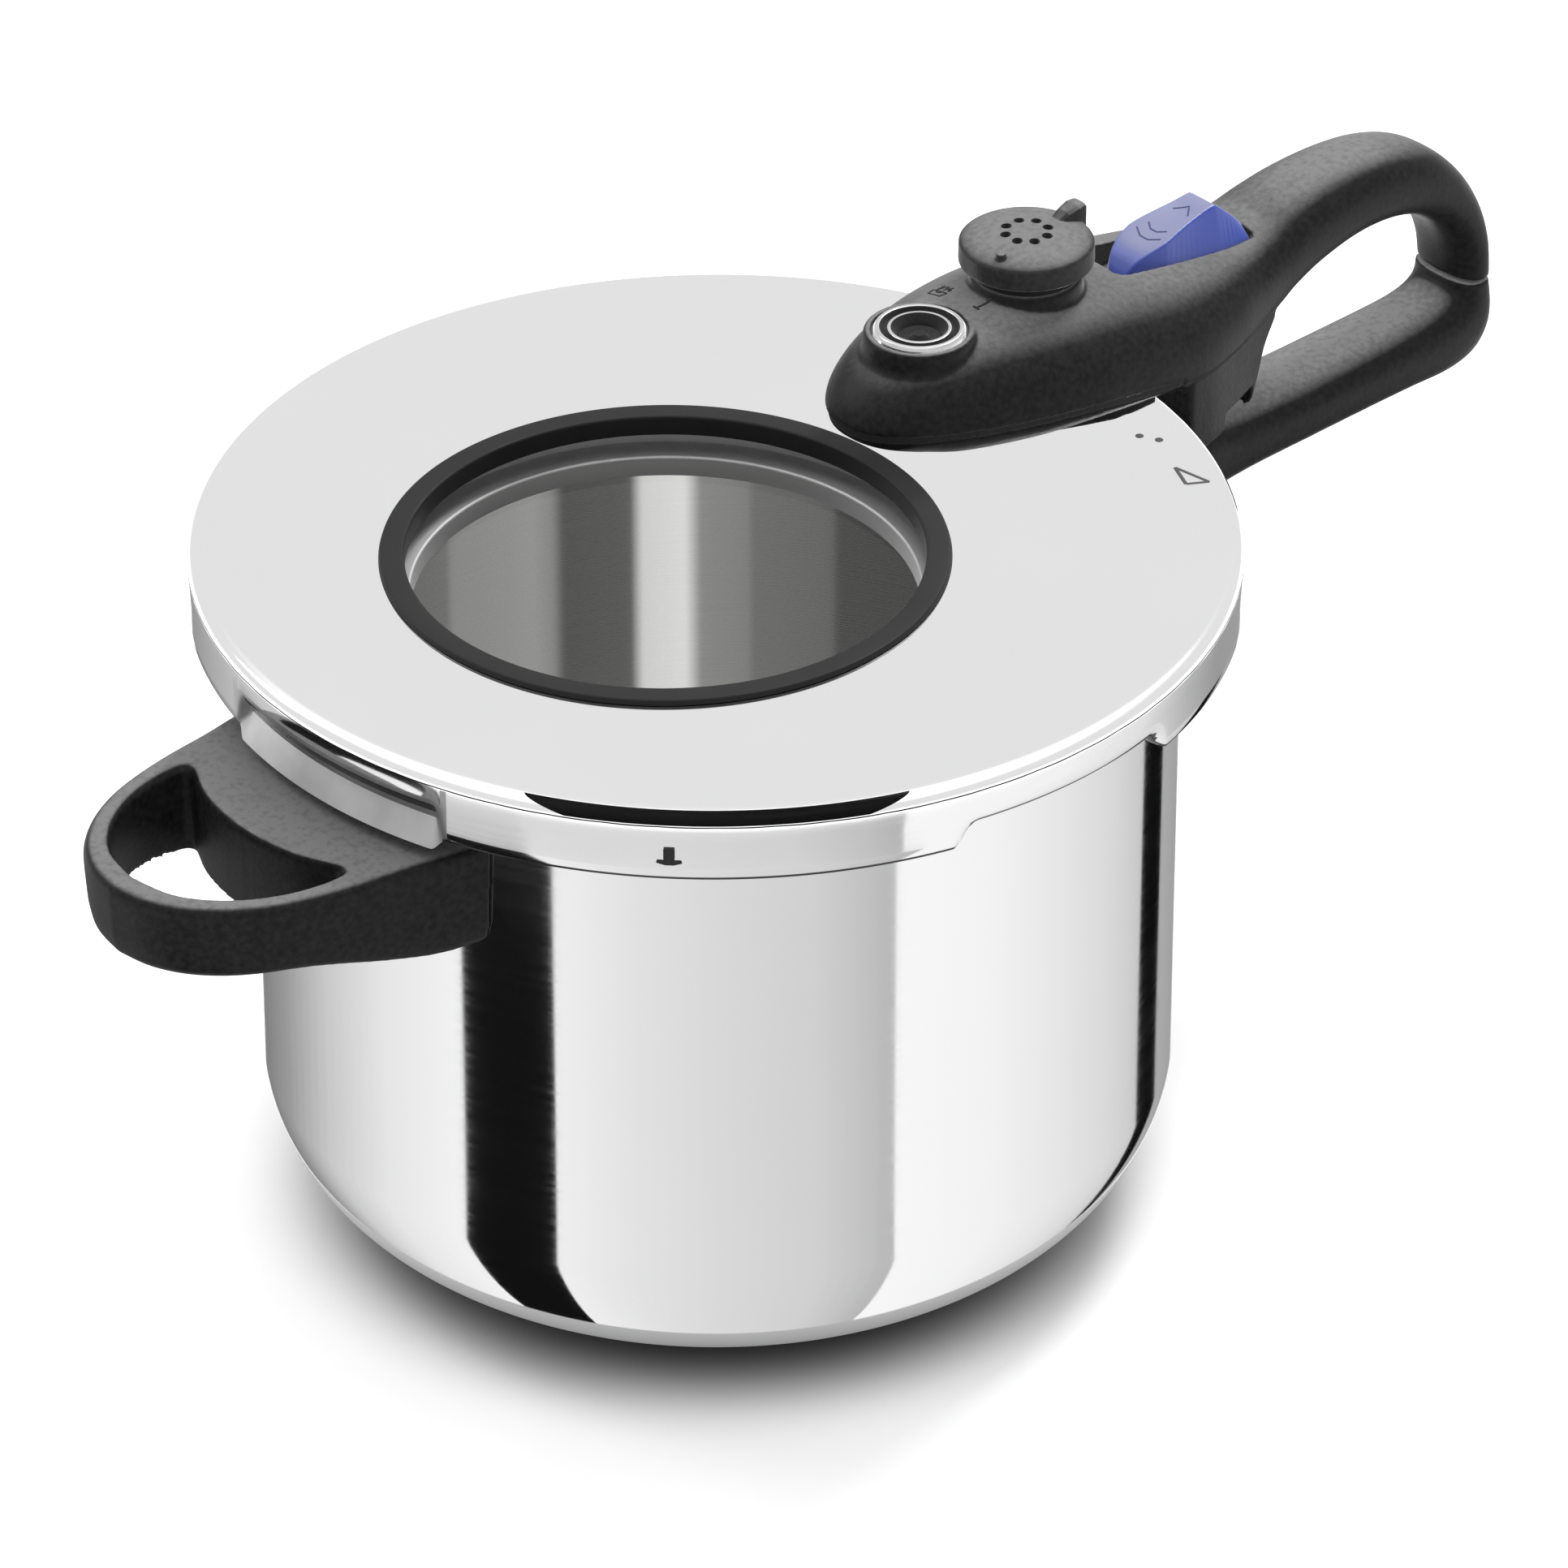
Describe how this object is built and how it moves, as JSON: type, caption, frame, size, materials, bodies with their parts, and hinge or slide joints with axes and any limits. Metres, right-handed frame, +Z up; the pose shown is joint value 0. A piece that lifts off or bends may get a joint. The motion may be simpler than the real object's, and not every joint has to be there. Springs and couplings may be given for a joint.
{
  "type": "bayonet-lid pressure canner",
  "caption": "Round stainless pressure canner with a turning bayonet lid, glass window, steam control knob, pressure indicator, sliding lock, long loop handle and short side handle.",
  "frame": {"origin": "centre of the base plate's underside, where the pot stands", "axes": "+Z up along the pot's axis, +X from the pot's axis towards the tip of the long handle, +Y to the left of it"},
  "size_m": [0.4314, 0.2494, 0.2258],
  "materials": {
    "polished_steel": "mirror-polished stainless steel",
    "satin_steel": "satin stainless steel",
    "base_aluminium": "matt cast aluminium",
    "black_plastic": "fine textured thermoset plastic",
    "blue_plastic": "satin coloured plastic",
    "black_rubber": "moulded rubber",
    "grey_silicone": "moulded silicone",
    "window_glass": "clear tempered glass",
    "valve_brass": "turned brass"
  },
  "bodies": {
    "pot": {"pot_body": "polished_steel", "base_core": "base_aluminium", "base_cap": "satin_steel", "lower_bracket": "satin_steel", "side_bracket": "satin_steel", "lower_handle": "black_plastic", "lower_handle_screw": "satin_steel", "side_handle": "black_plastic", "side_handle_screw": "satin_steel"},
    "seal": {"seal_ring": "grey_silicone"},
    "lid": {"lid_shell": "polished_steel", "window_gasket": "black_rubber", "window_glass": "window_glass", "window_clamp_ring": "satin_steel", "window_stud_1": "satin_steel", "window_stud_2": "satin_steel", "window_stud_3": "satin_steel", "window_stud_4": "satin_steel", "window_nut_1": "satin_steel", "window_nut_2": "satin_steel", "window_nut_3": "satin_steel", "window_nut_4": "satin_steel", "handle_housing": "black_plastic", "housing_cover": "black_plastic", "lid_bracket": "satin_steel", "rear_screw": "satin_steel", "front_screw": "satin_steel", "valve_body": "valve_brass", "valve_washer": "grey_silicone", "valve_nut": "satin_steel", "knob_guide": "satin_steel", "indicator_body": "satin_steel", "indicator_washer": "grey_silicone", "indicator_nut": "satin_steel", "indicator_collar": "polished_steel", "safety_valve_body": "satin_steel", "safety_valve_cap": "grey_silicone", "safety_valve_nut": "satin_steel", "skirt_stud": "polished_steel"},
    "knob": {"control_knob": "black_plastic"},
    "valve": {"valve_plunger": "valve_brass", "valve_spring": "satin_steel"},
    "indicator": {"indicator_pin": "black_plastic", "indicator_seal": "grey_silicone", "indicator_spring": "satin_steel"},
    "lock": {"lock_slider": "blue_plastic", "lock_bar": "satin_steel"}
  },
  "joints": [
    {"name": "lid_lift", "type": "slide", "parent": "pot", "child": "seal", "axis": [0, 0, 1], "range_m": [0, 0.06]},
    {"name": "lid_turn", "type": "hinge", "parent": "seal", "child": "lid", "pos_m": [0, 0, 0.17], "axis": [0, 0, 1], "range_deg": [0, 30]},
    {"name": "knob_turn", "type": "hinge", "parent": "lid", "child": "knob", "pos_m": [0.0988, 0, 0.2158], "axis": [0, 0, 1], "range_deg": [-40, 0]},
    {"name": "valve_lift", "type": "slide", "parent": "lid", "child": "valve", "axis": [0, 0, 1], "range_m": [0, 0.002], "stiffness_N_per_m": 300, "deforming": ["valve_spring"]},
    {"name": "indicator_rise", "type": "slide", "parent": "lid", "child": "indicator", "axis": [0, 0, 1], "range_m": [0, 0.004], "stiffness_N_per_m": 60, "deforming": ["indicator_spring"]},
    {"name": "lock_slide", "type": "slide", "parent": "lid", "child": "lock", "axis": [-1, 0, 0], "range_m": [0, 0.006]}
  ]
}
